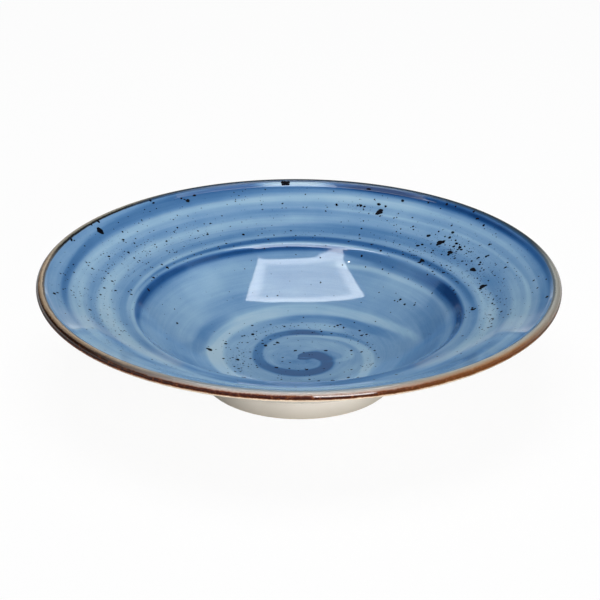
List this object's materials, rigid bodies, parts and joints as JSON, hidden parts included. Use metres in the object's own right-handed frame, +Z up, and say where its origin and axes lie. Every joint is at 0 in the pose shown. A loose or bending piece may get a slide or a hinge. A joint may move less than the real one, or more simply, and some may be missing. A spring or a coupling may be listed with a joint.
{
  "type": "pasta bowl",
  "caption": "Round stoneware bowl with a deep well, a wide sloping rim, a rounded brown lip and a foot ring, for serving pasta or soup.",
  "frame": {"origin": "middle of the foot ring, on the surface that the bowl stands on", "axes": "+Z up, along the bowl's axis of symmetry; -Y towards the viewer of the picture; +X to the viewer's right"},
  "size_m": [0.275, 0.275, 0.0582],
  "materials": {
    "bare_stoneware": "matt, unglazed",
    "blue_glaze": "gloss, brushed blue with dark specks",
    "brown_glaze": "gloss, mottled iron brown",
    "cream_glaze": "gloss",
    "recess_glaze": "gloss"
  },
  "bodies": {
    "root": {"stoneware_body": "bare_stoneware", "blue_top_glaze": "blue_glaze", "brown_lip_glaze": "brown_glaze", "cream_underside_glaze": "cream_glaze", "foot_recess_glaze": "recess_glaze"}
  },
  "joints": []
}
